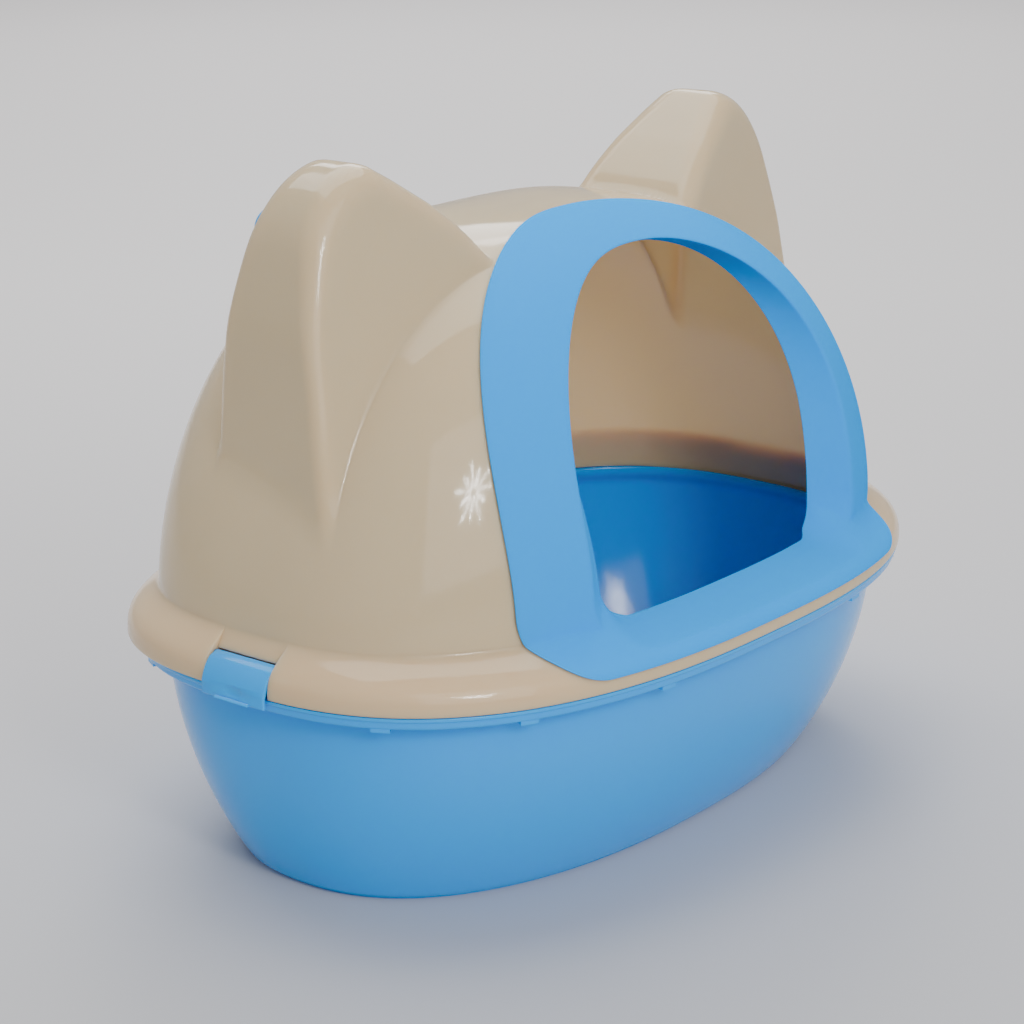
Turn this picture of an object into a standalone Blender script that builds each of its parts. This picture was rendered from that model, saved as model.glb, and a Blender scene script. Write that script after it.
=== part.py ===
"""Cat litter box: deep oval tray, eared hood, arched entry frame, two side clips and a hook button.

Metres, +Z up.  X runs along the box, the entry faces -Y, and the origin is the middle of the tray's
underside.  The hood is one moulded shell whose outline is an oval of exponent about 2.6 at every height.
"""
import math

import bmesh
import bpy
import numpy as np
from mathutils import Matrix, Vector

# ---- driving sizes: hood ----
RIM_Z = 0.1380                # lower edge of the hood
RIM_HALF_X = 0.2800
RIM_HALF_Y = 0.1864
RIM_POWER = 2.58              # exponent of the oval at the rim
WALL_Z = 0.1680               # where the bead round the rim ends and the dome's wall starts
WALL_HALF_X = 0.2614
WALL_HALF_FRONT = 0.1615
WALL_HALF_REAR = 0.1680
REAR_EXTRA_POWER = 0.28       # the rear half is a little squarer than the front
DOME_TOP_Z = 0.3791
DOME_TOP_POWER = 2.86
DOME_TOP_SHIFT = 0.0112       # the crown sits slightly behind the middle
DOME_X_RISE, DOME_X_FALL = 1.454, 2.982
DOME_Y_RISE, DOME_Y_FALL = 1.957, 2.712
BEAD_RISE, BEAD_FILLET = 3.3, 1.9
HOOD_WALL = 0.0026
CORE_DROP = 0.0200            # how far the hollow's core runs out below the rim
FIT_GAP = 0.0012              # clearance of the entry frame over the hood

# ---- driving sizes: ears, for the ear on +X; the other one mirrors it ----
EAR_OUTLINE = (               # (x, z) from the outer side's foot, over the tip, to the inner slope's foot
    (0.2470, 0.2000), (0.2375, 0.3280), (0.2300, 0.3720), (0.2225, 0.3960), (0.2090, 0.4150),
    (0.1920, 0.4260), (0.1740, 0.4283), (0.1560, 0.4180), (0.1380, 0.4060), (0.1160, 0.3870),
    (0.1010, 0.3700), (0.0920, 0.3560),
)
EAR_OUTLINE_Y = -0.0200
EAR_LEAN = 0.12               # the outer side runs inward towards the rear
EAR_FRONT = ((0.183, -1.0, 0.163), (0.200, -0.0322, 0.350))    # outward direction, and a point on it
EAR_REAR_LOW = ((0.0, 1.0, 0.06), (0.200, 0.0535, 0.330))
EAR_REAR_HIGH = ((0.05, 1.0, 0.50), (0.150, 0.0500, 0.372))
EAR_ROOTS = (((0.0, 0.0, -1.0), (0.190, 0.0, 0.200)), ((-1.0, 0.0, 0.0), (0.092, 0.0, 0.300)))
EAR_ROUNDING = 0.0075

# ---- driving sizes: entry ----
# half width, half width at the foot, bottom z, z where the arch starts, top z, corner radius, arch exponent
OUTLINE_ARCH = (0.1855, 0.1855, 0.1465, 0.2000, 0.3778, 0.0380, 2.62)
CREASE_ARCH = (0.1370, 0.1365, 0.1550, 0.2250, 0.3605, 0.0290, 2.25)
THROAT_ARCH = (0.1180, 0.1110, 0.1635, 0.2500, 0.3580, 0.0200, 2.60)
THROAT_DEPTH_LOW, THROAT_DEPTH_HIGH = 0.0200, 0.0120
HOLE_MARGIN = 0.0050          # how far the hood's hole is outside the frame's crease
FRAME_SKIN = 0.0014
FRAME_CROWN = 0.0003          # how far the middle of the frame stands above its edges
FRAME_EDGE = 0.0005           # its outer edge's chamfer

# ---- driving sizes: tray ----
TRAY_FOOT = (0.2317, 0.1304, 2.31)        # half sizes and exponent of the foot
TRAY_FOOT_Z = 0.0030
TRAY_WALL_Z = 0.1260                      # where the wall meets the rim
TRAY_WALL_INSET = 0.0172                  # wall under the rim, inside the hood's edge
TRAY_RISE, TRAY_FALL = 2.0155, 1.0756
TRAY_THICK = 0.0028
TRAY_FOOT_ROUNDING = ((0.0040, 0.0), (0.0025, 0.0024))    # inset from the foot, and height
TRAY_FLOOR_Z = 0.0040                     # top of the floor inside
TRAY_RIM = (                  # inset from the rim, and height: under the flange, skirt, flange, upstand
    (0.0168, 0.1348), (0.0046, 0.1348), (0.0046, 0.1304), (0.0022, 0.1304), (0.0018, 0.1350),
    (0.0008, 0.1354), (0.0008, 0.1371), (0.0013, 0.1376), (0.0235, 0.1376), (0.0239, 0.1396),
    (0.0247, 0.1402), (0.0259, 0.1396), (0.0259, 0.1346),
)
TRAY_INNER_TOP_Z = 0.1280
LUG_INSET = 0.0028
LUG_LENGTH, LUG_DEPTH = 0.0110, 0.0100
LUG_LOW_Z, LUG_HIGH_Z = 0.1282, 0.1342
LUG_ANGLES = (24, 50, 74, 106, 130, 156)  # degrees from +X, on both long sides

# ---- driving sizes: side clips ----
CLIP_HALF_WIDTH = 0.0246
CLIP_PIVOT = (0.2690, 0.1530)             # distance from the middle, and height
CLIP_KNUCKLE = 0.0026                     # radius of the rounded back round the pivot
CLIP_THICK = 0.0022
CLIP_BOTTOM_Z = 0.1325
CLIP_EDGE = 0.0006                        # chamfer of its edges
CLIP_CROWN, CLIP_SHOULDER = 0.0012, 0.0022                # width and drop of its sloping top
CLIP_PROUD_TOP, CLIP_PROUD_LOW = -0.0010, 0.0024          # how far it stands outside the bead
CLIP_PROUD_BY = 0.62                      # share of its height by which it is fully proud
CLIP_HOLLOW_Z = (0.1390, 0.1420)          # where its back leaves the straight foot for the curve
CLIP_PIN_RADIUS = 0.0018
CLIP_PIN_LENGTH = 0.0016
CLIP_BORE_RADIUS = 0.0022
CLIP_LIP = ((-0.0010, 0.0003), (0.0018, 0.0003), (0.0018, 0.0012), (-0.0010, 0.0030))
CLIP_LIP_HALF_WIDTH = 0.0130
NOTCH_BACK_X = 0.2640
NOTCH_TOP_Z = 0.1690
NOTCH_HALF_WIDTH = 0.0250
NOTCH_WALL = 0.0026
BEYOND = 0.0100               # how far a cutter runs past what it cuts

# ---- driving sizes: hook button for the scoop, behind the ear on -X ----
HOOK_X, HOOK_Z = -0.1975, 0.3900
HOOK_HOLE_RADIUS = 0.0044
HOOK_PROFILE = (              # radius, and distance out from the ear's rear face
    (0.0058, -0.0050), (0.0058, -0.0031), (0.0040, -0.0031), (0.0040, 0.0006), (0.0094, 0.0006),
    (0.0110, 0.0020), (0.0110, 0.0044), (0.0098, 0.0060), (0.0064, 0.0069),
)
HOOK_ENDS = (-0.0052, 0.0072)

# ---- mesh density ----
ROUND_STEPS = 56
RING_CROWDING = 0.25          # how much closer together the steps are at the two ends
BEAD_RINGS = 5
DOME_RINGS = 12
TRAY_RINGS = 8
HOOK_STEPS = 20
BISECTIONS = 34

CREAM = (0.62, 0.50, 0.37)
SKY_BLUE = (0.10, 0.42, 0.78)


# ---- surfaces of the hood ----
def bead_share(z):
    """How much of the bead's full width the hood has at height z: 1 at the rim, 0 at the dome's wall."""
    depth = np.clip((WALL_Z - z) / (WALL_Z - RIM_Z), 0.0, 1.0)
    return (1.0 - (1.0 - depth) ** BEAD_RISE) ** BEAD_FILLET


def hood_section(z, grow=0.0):
    """Half length, front half depth, rear half depth, exponent and shift of the hood's oval at height z."""
    rise = np.clip((z - WALL_Z) / (DOME_TOP_Z + grow - WALL_Z), 0.0, 1.0)
    along = (1.0 - rise ** DOME_X_RISE) ** (1.0 / DOME_X_FALL)
    across = (1.0 - rise ** DOME_Y_RISE) ** (1.0 / DOME_Y_FALL)
    bead = bead_share(z)
    half_x = (WALL_HALF_X + grow) * along + bead * (RIM_HALF_X - WALL_HALF_X)
    front = (WALL_HALF_FRONT + grow) * across + bead * (RIM_HALF_Y - WALL_HALF_FRONT)
    rear = (WALL_HALF_REAR + grow) * across + bead * (RIM_HALF_Y - WALL_HALF_REAR)
    power = RIM_POWER + (DOME_TOP_POWER - RIM_POWER) * rise
    return half_x, front, rear, power, DOME_TOP_SHIFT * rise ** 2


def outside_base(points, grow=0.0):
    """Above 0 where a point is outside the dome and bead grown by grow."""
    x, y, z = points[..., 0], points[..., 1], points[..., 2]
    half_x, front, rear, power, shift = hood_section(z, grow)
    y = y - shift
    half_y = np.where(y < 0.0, front, rear)
    power = np.where(y < 0.0, power, power + REAR_EXTRA_POWER)
    tiny = 1e-6
    level = (np.abs(x) / np.maximum(half_x, tiny)) ** power + (np.abs(y) / np.maximum(half_y, tiny)) ** power
    return np.where(z > DOME_TOP_Z + grow, 1.0, level - 1.0)


def along_rays(directions, lengths):
    """Points at these distances from the middle of the rim's plane."""
    return np.array((0.0, 0.0, RIM_Z)) + directions * lengths[..., None]


def base_points(directions, grow=0.0):
    """Points of the dome and bead, seen along each direction from the middle of the rim's plane."""
    low = np.zeros(directions.shape[:-1])
    high = np.full(directions.shape[:-1], 2.0 * RIM_HALF_X)
    for _ in range(BISECTIONS):
        middle = 0.5 * (low + high)
        beyond = outside_base(along_rays(directions, middle), grow) > 0.0
        high = np.where(beyond, middle, high)
        low = np.where(beyond, low, middle)
    return along_rays(directions, 0.5 * (low + high))


def ear_planes():
    """(outward direction, point) of every flat side of the ear on +X, with its hidden ends in the dome."""
    planes = [EAR_FRONT, EAR_REAR_LOW, EAR_REAR_HIGH, *EAR_ROOTS]
    for (x0, z0), (x1, z1) in zip(EAR_OUTLINE, EAR_OUTLINE[1:]):
        lean = EAR_LEAN * max(z1 - z0, 0.0)
        planes.append(((z1 - z0, lean, x0 - x1), (x0, EAR_OUTLINE_Y, z0)))
    return planes


def oval(half_x, half_y, power, angle):
    c, s = np.cos(angle), np.sin(angle)
    x = half_x * np.sign(c) * np.abs(c) ** (2.0 / power)
    y = half_y * np.sign(s) * np.abs(s) ** (2.0 / power)
    return x, y


def ring_angles(steps):
    """Angles round the oval, closer together at its two ends, where the ears and clips are."""
    even = np.arange(steps) * 2.0 * math.pi / steps
    return even - RING_CROWDING * np.sin(2.0 * even)


def hood_directions():
    """Unit directions to the hood's rings of points, from the rim up to the crown."""
    bead = RIM_Z + (WALL_Z - RIM_Z) * np.linspace(0.0, 1.0, BEAD_RINGS + 1)
    turn = np.linspace(0.0, 1.0, DOME_RINGS + 1)[1:-1] * 0.5 * math.pi
    dome = WALL_Z + (DOME_TOP_Z - WALL_Z) * (np.sin(turn) ** 2) ** (1.0 / DOME_X_RISE)
    angle = ring_angles(ROUND_STEPS)
    rings = []
    for z in np.concatenate((bead, dome)):
        half_x, front, rear, power, shift = hood_section(z)
        behind = np.sin(angle) > 0.0
        power = np.where(behind, power + REAR_EXTRA_POWER, power)
        x, y = oval(half_x, np.where(behind, rear, front), power, angle)
        rings.append(np.stack((x, y + shift, np.full_like(x, z - RIM_Z)), axis=-1))
    rings = np.array(rings)
    return rings / np.linalg.norm(rings, axis=-1, keepdims=True)


# ---- mesh helpers ----
def new_object(name, mesh, color, roughness):
    mesh.name = name
    obj = bpy.data.objects.new(name, mesh)
    bpy.context.scene.collection.objects.link(obj)
    material = bpy.data.materials.new(name)
    material.use_nodes = True
    shader = material.node_tree.nodes["Principled BSDF"]
    shader.inputs["Base Color"].default_value = (*color, 1.0)
    shader.inputs["Roughness"].default_value = roughness
    shader.inputs["Metallic"].default_value = 0.0
    mesh.materials.append(material)
    mesh.shade_smooth()
    mesh.set_sharp_from_angle(angle=math.radians(35.0))
    return obj


def to_mesh(bm):
    bmesh.ops.recalc_face_normals(bm, faces=bm.faces)
    mesh = bpy.data.meshes.new("shape")
    bm.to_mesh(mesh)
    bm.free()
    return mesh


def ring_body(rings, first_pole=None, last_pole=None, looped=False):
    """Joins rings of points, all the same length, into one skin; a pole closes an end to a point."""
    bm = bmesh.new()
    loops = [[bm.verts.new(point) for point in ring] for ring in rings]
    pairs = list(zip(loops, loops[1:]))
    if looped:
        pairs.append((loops[-1], loops[0]))
    count = len(loops[0])
    for lower, upper in pairs:
        for i in range(count):
            j = (i + 1) % count
            bm.faces.new((lower[i], lower[j], upper[j], upper[i]))
    for pole, loop in ((first_pole, loops[0]), (last_pole, loops[-1])):
        if pole is not None:
            tip = bm.verts.new(pole)
            for i in range(count):
                bm.faces.new((tip, loop[i], loop[(i + 1) % count]))
    return to_mesh(bm)


def prism(outline, axis_from, axis_to, place):
    """A flat outline of (a, b) pairs swept between two depths; place turns (a, b, depth) into a point."""
    bm = bmesh.new()
    near = [bm.verts.new(place(a, b, axis_from)) for a, b in outline]
    far = [bm.verts.new(place(a, b, axis_to)) for a, b in outline]
    bm.faces.new(near)
    bm.faces.new(far[::-1])
    for i in range(len(outline)):
        j = (i + 1) % len(outline)
        bm.faces.new((near[i], near[j], far[j], far[i]))
    return to_mesh(bm)


def box(low, high):
    bm = bmesh.new()
    bmesh.ops.create_cube(bm, size=1.0)
    for vert in bm.verts:
        vert.co = Vector([low[i] + (vert.co[i] + 0.5) * (high[i] - low[i]) for i in range(3)])
    return to_mesh(bm)


def cylinder(start, end, radius, segments=20):
    bm = bmesh.new()
    span = Vector(end) - Vector(start)
    turn = span.to_track_quat("Z", "Y").to_matrix().to_4x4()
    middle = Matrix.Translation((Vector(start) + Vector(end)) / 2.0)
    bmesh.ops.create_cone(bm, cap_ends=True, segments=segments, radius1=radius, radius2=radius,
                          depth=span.length, matrix=middle @ turn)
    return to_mesh(bm)


def tool(mesh):
    """A hidden helper for a Boolean."""
    obj = bpy.data.objects.new("tool", mesh)
    bpy.context.scene.collection.objects.link(obj)
    obj.hide_render = True
    obj.display_type = "WIRE"
    return obj


def combine(obj, operation, other):
    """Applies one Boolean of two solids and removes the helper."""
    modifier = obj.modifiers.new(operation.lower(), "BOOLEAN")
    modifier.operation = operation
    modifier.solver = "EXACT"
    modifier.object = other
    bpy.context.view_layer.update()
    evaluated = obj.evaluated_get(bpy.context.evaluated_depsgraph_get())
    result = bpy.data.meshes.new_from_object(evaluated)
    obj.modifiers.clear()
    obj.data = result
    bpy.data.objects.remove(other)
    return obj


# ---- tray ----
def tray_section(share, inset=0.0):
    """Half sizes and exponent of the tray's wall, share 0 at the foot and 1 at the rim."""
    swell = (1.0 - (1.0 - share) ** TRAY_RISE) ** (1.0 / TRAY_FALL)
    half_x = TRAY_FOOT[0] + (RIM_HALF_X - TRAY_WALL_INSET - TRAY_FOOT[0]) * swell - inset
    half_y = TRAY_FOOT[1] + (RIM_HALF_Y - TRAY_WALL_INSET - TRAY_FOOT[1]) * swell - inset
    return half_x, half_y, TRAY_FOOT[2] + (RIM_POWER - TRAY_FOOT[2]) * share


def rim_section(inset):
    return RIM_HALF_X - inset, RIM_HALF_Y - inset, RIM_POWER


def level_ring(section, z):
    x, y = oval(*section, ring_angles(ROUND_STEPS))
    return np.stack((x, y, np.full_like(x, z)), axis=-1)


def build_tray():
    span = TRAY_WALL_Z - TRAY_FOOT_Z
    shares = np.linspace(0.0, 1.0, TRAY_RINGS) ** 1.5
    rings = [level_ring(tray_section(0.0, inset), z) for inset, z in TRAY_FOOT_ROUNDING]
    rings += [level_ring(tray_section(share), TRAY_FOOT_Z + span * share) for share in shares]
    rings += [level_ring(rim_section(inset), z) for inset, z in TRAY_RIM]
    inner_span = TRAY_INNER_TOP_Z - TRAY_FLOOR_Z
    for share in shares[::-1]:
        rings.append(level_ring(tray_section(share, TRAY_THICK), TRAY_FLOOR_Z + inner_span * share))
    mesh = ring_body(rings, first_pole=(0.0, 0.0, 0.0), last_pole=(0.0, 0.0, TRAY_FLOOR_Z))
    tray = new_object("tray", mesh, SKY_BLUE, 0.32)
    for side in (1, -1):
        for degrees in LUG_ANGLES:
            combine(tray, "UNION", tool(lug(math.radians(degrees * side))))
    return tray


def lug(angle):
    """A small stop under the rim, running from the wall out to the skirt and hanging just below it."""
    x, y = oval(*rim_section(LUG_INSET), angle)
    further = oval(*rim_section(LUG_INSET), angle + 0.01)
    along = Vector((further[0] - x, further[1] - y, 0.0)).normalized()
    inward = Vector((-along.y, along.x, 0.0))
    corners = ((-0.5, 0.0), (0.5, 0.0), (0.5, 1.0), (-0.5, 1.0))

    def place(a, b, z):
        return Vector((x, y, z)) + along * a * LUG_LENGTH + inward * b * LUG_DEPTH

    return prism(corners, LUG_LOW_Z, LUG_HIGH_Z, place)


# ---- hood ----
def dome_solid(grow, low_z):
    """The dome and bead, filled down to low_z."""
    rings = list(base_points(hood_directions(), grow))
    if low_z < RIM_Z:
        rings.insert(0, rings[0] + np.array((0.0, 0.0, low_z - RIM_Z)))
    crown = (0.0, DOME_TOP_SHIFT, DOME_TOP_Z + grow)
    return ring_body(rings, first_pole=(0.0, 0.0, low_z), last_pole=crown)


def ear_solid(side, grow):
    """One ear's block of flat sides with rounded edges, reaching down into the dome."""
    block = bmesh.new()
    bmesh.ops.create_cube(block, size=1.0)
    for normal, through in ear_planes():
        unit = Vector(normal).normalized()
        cut = bmesh.ops.bisect_plane(block, geom=[*block.verts, *block.edges, *block.faces], clear_outer=True,
                                     plane_co=Vector(through) + unit * (grow - EAR_ROUNDING), plane_no=unit)
        edges = [item for item in cut["geom_cut"] if isinstance(item, bmesh.types.BMEdge)]
        bmesh.ops.holes_fill(block, edges=edges)
    ball = bmesh.new()
    bmesh.ops.create_icosphere(ball, subdivisions=2, radius=EAR_ROUNDING)
    rounded = bmesh.new()
    for corner in block.verts:
        for point in ball.verts:
            x, y, z = corner.co + point.co
            rounded.verts.new((side * x, y, z))
    block.free()
    ball.free()
    bmesh.ops.convex_hull(rounded, input=rounded.verts)
    loose = [vert for vert in rounded.verts if not vert.link_faces]
    bmesh.ops.delete(rounded, geom=loose, context="VERTS")
    return to_mesh(rounded)


def eared_solid(grow, low_z):
    body = tool(dome_solid(grow, low_z))
    for side in (1, -1):
        combine(body, "UNION", tool(ear_solid(side, grow)))
    return body


def arch(shape, margin=0.0):
    """Points (x, z) round an arched opening, counter-clockwise from the middle of its foot."""
    half, foot, bottom, spring, top, corner, power = shape
    half, foot, bottom, top = half + margin, foot + margin, bottom - margin, top + margin
    points = [(t * (foot - corner), bottom) for t in np.linspace(0.0, 1.0, 6)[:-1]]
    for turn in np.linspace(-0.5, 0.0, 6) * math.pi:
        points.append((foot - corner + corner * math.cos(turn), bottom + corner + corner * math.sin(turn)))
    low = bottom + corner
    for t in np.linspace(0.0, 1.0, 4)[1:-1]:
        points.append((foot + (half - foot) * t, low + (spring - low) * t))
    for turn in np.linspace(0.0, 0.5, 15) * math.pi:
        x = half * math.cos(turn) ** (2.0 / power)
        points.append((x, spring + (top - spring) * math.sin(turn) ** (2.0 / power)))
    points[-1] = (0.0, top)
    return points + [(-x, z) for x, z in points[-2:0:-1]]


def front_point(x, z, grow=0.0):
    """The point of the hood's front that is seen at (x, z) from straight ahead."""
    half_x, front, _, power, shift = hood_section(np.array(z), grow)
    depth = front * (1.0 - min(abs(x / half_x), 1.0) ** power) ** (1.0 / power)
    return np.array((x, float(shift - depth), z))


def build_hood():
    outer = eared_solid(0.0, RIM_Z)
    combine(outer, "DIFFERENCE", eared_solid(-HOOD_WALL, RIM_Z - CORE_DROP))
    hood = new_object("hood", outer.data, CREAM, 0.22)
    bpy.data.objects.remove(outer)
    entry_hole = prism(arch(CREASE_ARCH, HOLE_MARGIN), -0.30, -0.03, lambda x, z, y: (x, y, z))
    combine(hood, "DIFFERENCE", tool(entry_hole))
    for side in (1, -1):
        add_clip_pocket(hood, side)
    seat, outward = hook_seat()
    hole = cylinder(seat - outward * BEYOND, seat + outward * BEYOND, HOOK_HOLE_RADIUS, HOOK_STEPS)
    combine(hood, "DIFFERENCE", tool(hole))
    return hood


def add_clip_pocket(hood, side):
    """A notch through the bead with a back wall and two cheeks that carry the clip's pins."""
    reach, back = side * (RIM_HALF_X + BEYOND), side * NOTCH_BACK_X
    half, low = NOTCH_HALF_WIDTH, RIM_Z - BEYOND
    pocket = tool(dome_solid(0.0, RIM_Z))
    walls = span_box(back - side * NOTCH_WALL, reach, half + NOTCH_WALL, low, NOTCH_TOP_Z + NOTCH_WALL)
    combine(pocket, "INTERSECT", tool(walls))
    combine(hood, "UNION", pocket)
    combine(hood, "DIFFERENCE", tool(span_box(back, reach, half, low, NOTCH_TOP_Z)))
    pivot_x, pivot_z = side * CLIP_PIVOT[0], CLIP_PIVOT[1]
    bore_end = half + BEYOND
    bore = cylinder((pivot_x, -bore_end, pivot_z), (pivot_x, bore_end, pivot_z), CLIP_BORE_RADIUS, 16)
    combine(hood, "DIFFERENCE", tool(bore))


def span_box(x0, x1, half_y, z0, z1):
    return box((min(x0, x1), -half_y, z0), (max(x0, x1), half_y, z1))


# ---- entry frame ----
def frame_skin_ring(share, grow):
    """A ring of points over the hood's surface, share 0 at the frame's outline and 1 at its crease."""
    ring = []
    for (x0, z0), (x1, z1) in zip(arch(OUTLINE_ARCH), arch(CREASE_ARCH)):
        start, end = front_point(x0, z0), front_point(x1, z1)
        ring.append(start + (end - start) * share)
    ring = np.array(ring) - np.array((0.0, 0.0, RIM_Z))
    directions = ring / np.linalg.norm(ring, axis=-1, keepdims=True)
    return base_points(directions, grow)


def throat_ring(margin):
    ring = []
    low, high = THROAT_ARCH[2], THROAT_ARCH[4]
    for x, z in arch(THROAT_ARCH, margin):
        share = (z - low) / (high - low)
        depth = THROAT_DEPTH_LOW + (THROAT_DEPTH_HIGH - THROAT_DEPTH_LOW) * share
        ring.append(front_point(x, z, -depth))
    return np.array(ring)


def blend(first, second, share):
    return first * (1.0 - share) + second * share


def build_entry_frame():
    """A band over the hood's front that turns inward at its crease and runs back as a throat."""
    front = FIT_GAP + FRAME_SKIN
    crease, crease_back = frame_skin_ring(1.0, front + FRAME_CROWN), frame_skin_ring(0.955, FIT_GAP)
    throat, throat_back = throat_ring(0.0), throat_ring(FRAME_SKIN)
    rings = [
        frame_skin_ring(0.0, FIT_GAP),
        frame_skin_ring(0.0, front - FRAME_EDGE),
        frame_skin_ring(0.03, front),
        frame_skin_ring(0.35, front + FRAME_CROWN),
        frame_skin_ring(0.70, front + FRAME_CROWN),
        frame_skin_ring(0.95, front + FRAME_CROWN),
        blend(crease, throat, 0.07),
        blend(crease, throat, 0.5),
        throat,
        throat_back,
        blend(crease_back, throat_back, 0.5),
        crease_back,
        frame_skin_ring(0.60, FIT_GAP),
        frame_skin_ring(0.30, FIT_GAP),
    ]
    return new_object("entry_frame", ring_body(rings, looped=True), SKY_BLUE, 0.38)


# ---- clips ----
def clip_outer(z):
    """Distance of the clip's outer face from the middle at height z: the bead's, slightly proud."""
    share = (CLIP_PIVOT[1] - min(z, CLIP_PIVOT[1])) / (CLIP_PIVOT[1] - CLIP_BOTTOM_Z)
    bead = float(hood_section(np.array(max(z, RIM_Z)))[0])
    return bead + CLIP_PROUD_TOP + (CLIP_PROUD_LOW - CLIP_PROUD_TOP) * min(1.0, share / CLIP_PROUD_BY)


def clip_outline():
    """The clip's cross-section, (distance from the middle, height), round its knuckle and down its curve."""
    pivot_x, pivot_z = CLIP_PIVOT
    top = pivot_z + CLIP_KNUCKLE
    outer = [(clip_outer(z), z) for z in np.linspace(top - CLIP_SHOULDER, CLIP_BOTTOM_Z + CLIP_EDGE, 9)]
    foot_x = outer[-1][0]
    back_x = foot_x - CLIP_THICK
    points = [(pivot_x + CLIP_CROWN, top), *outer]
    points += [(foot_x - CLIP_EDGE, CLIP_BOTTOM_Z), (back_x, CLIP_BOTTOM_Z), (back_x, CLIP_HOLLOW_Z[0])]
    for z in np.linspace(CLIP_HOLLOW_Z[1], pivot_z - CLIP_KNUCKLE, 4):
        points.append((min(clip_outer(z) - CLIP_THICK, back_x) - CLIP_EDGE, z))
    for turn in np.linspace(-0.5, -1.5, 7) * math.pi:
        points.append((pivot_x + CLIP_KNUCKLE * math.cos(turn), pivot_z + CLIP_KNUCKLE * math.sin(turn)))
    return points


def build_clip(name, side):
    """The clip with its two stub pins and the finger lip at its foot; its origin is on the pivot."""
    def place(x, z, y):
        return (side * (x - CLIP_PIVOT[0]), y, z - CLIP_PIVOT[1])

    clip = new_object(name, prism(clip_outline(), -CLIP_HALF_WIDTH, CLIP_HALF_WIDTH, place), SKY_BLUE, 0.30)
    pin_end = CLIP_HALF_WIDTH + CLIP_PIN_LENGTH
    combine(clip, "UNION", tool(cylinder((0.0, -pin_end, 0.0), (0.0, pin_end, 0.0), CLIP_PIN_RADIUS, 16)))
    foot = clip_outer(CLIP_BOTTOM_Z)
    lip = [(foot + out, CLIP_BOTTOM_Z + up) for out, up in CLIP_LIP]
    combine(clip, "UNION", tool(prism(lip, -CLIP_LIP_HALF_WIDTH, CLIP_LIP_HALF_WIDTH, place)))
    clip.location = (side * CLIP_PIVOT[0], 0.0, CLIP_PIVOT[1])
    return clip


# ---- hook button ----
def hook_seat():
    """The middle of the hook on the ear's rear face, and the face's outward direction there."""
    (nx, ny, nz), (px, py, pz) = EAR_REAR_HIGH
    y = py - (nx * (-HOOK_X - px) + nz * (HOOK_Z - pz)) / ny
    return Vector((HOOK_X, y, HOOK_Z)), Vector((-nx, ny, nz)).normalized()


def build_hook():
    seat, outward = hook_seat()
    turn = outward.to_track_quat("Z", "Y").to_matrix()
    angles = np.arange(HOOK_STEPS) * 2.0 * math.pi / HOOK_STEPS

    def place(radius, out, angle):
        return seat + turn @ Vector((radius * math.cos(angle), radius * math.sin(angle), out))

    rings = [[place(radius, out, angle) for angle in angles] for radius, out in HOOK_PROFILE]
    mesh = ring_body(rings, first_pole=place(0.0, HOOK_ENDS[0], 0.0), last_pole=place(0.0, HOOK_ENDS[1], 0.0))
    return new_object("scoop_hook", mesh, SKY_BLUE, 0.32)


def main():
    for obj in list(bpy.data.objects):
        bpy.data.objects.remove(obj)
    build_tray()
    build_hood()
    build_entry_frame()
    build_clip("clip_left", -1)
    build_clip("clip_right", 1)
    build_hook()


main()
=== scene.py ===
"""Looks for the hooded cat litter box: fine shells, glossy moulded plastic, soft studio light, pale floor.

Metres, +Z up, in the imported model's frame: X along the box, the entry faces -Y, Z = 0 is the floor.
"""
import math

import bpy
import numpy as np
from mathutils import Matrix, Vector


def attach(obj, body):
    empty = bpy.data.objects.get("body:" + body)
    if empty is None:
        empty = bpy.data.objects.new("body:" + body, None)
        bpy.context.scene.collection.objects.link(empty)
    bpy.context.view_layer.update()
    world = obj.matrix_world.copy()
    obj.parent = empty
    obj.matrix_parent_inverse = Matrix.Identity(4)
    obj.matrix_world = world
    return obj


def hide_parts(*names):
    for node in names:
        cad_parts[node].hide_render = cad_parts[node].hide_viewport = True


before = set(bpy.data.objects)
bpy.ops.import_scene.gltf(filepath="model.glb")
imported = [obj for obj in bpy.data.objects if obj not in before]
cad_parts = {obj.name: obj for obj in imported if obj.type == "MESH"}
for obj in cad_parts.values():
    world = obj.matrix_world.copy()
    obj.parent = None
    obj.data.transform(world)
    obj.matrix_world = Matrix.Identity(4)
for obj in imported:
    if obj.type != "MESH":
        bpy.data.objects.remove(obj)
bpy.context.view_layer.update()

# ---- hood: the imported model's driving sizes; ears, throat and notches differ by a few millimetres ----
RIM_Z, RIM_HALF_X, RIM_HALF_Y, RIM_POWER = 0.1380, 0.2800, 0.1864, 2.58
WALL_Z, WALL_HALF_X, WALL_HALF_FRONT, WALL_HALF_REAR = 0.1680, 0.2614, 0.1615, 0.1680
REAR_EXTRA_POWER = 0.28
DOME_TOP_Z, DOME_TOP_POWER, DOME_TOP_SHIFT = 0.3791, 2.86, 0.0112
DOME_X_RISE, DOME_X_FALL = 1.454, 2.982
DOME_Y_RISE, DOME_Y_FALL = 1.957, 2.712
BEAD_RISE, BEAD_FILLET = 3.3, 1.9
HOOD_WALL = 0.0026
LIP_ROUNDING = ((0.0010, 0.0), (0.0004, 0.0003), (0.0001, 0.0008), (0.0, 0.0014))   # inset, height
EAR_OUTLINE = (
    (0.2440, 0.2000), (0.2406, 0.2650), (0.2375, 0.3280), (0.2300, 0.3720), (0.2225, 0.3960),
    (0.2090, 0.4150), (0.1920, 0.4260), (0.1740, 0.4283), (0.1560, 0.4180), (0.1380, 0.4060),
    (0.1160, 0.3870), (0.1010, 0.3700), (0.0920, 0.3560),
)
EAR_OUTLINE_Y, EAR_LEAN = -0.0200, 0.12
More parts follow.
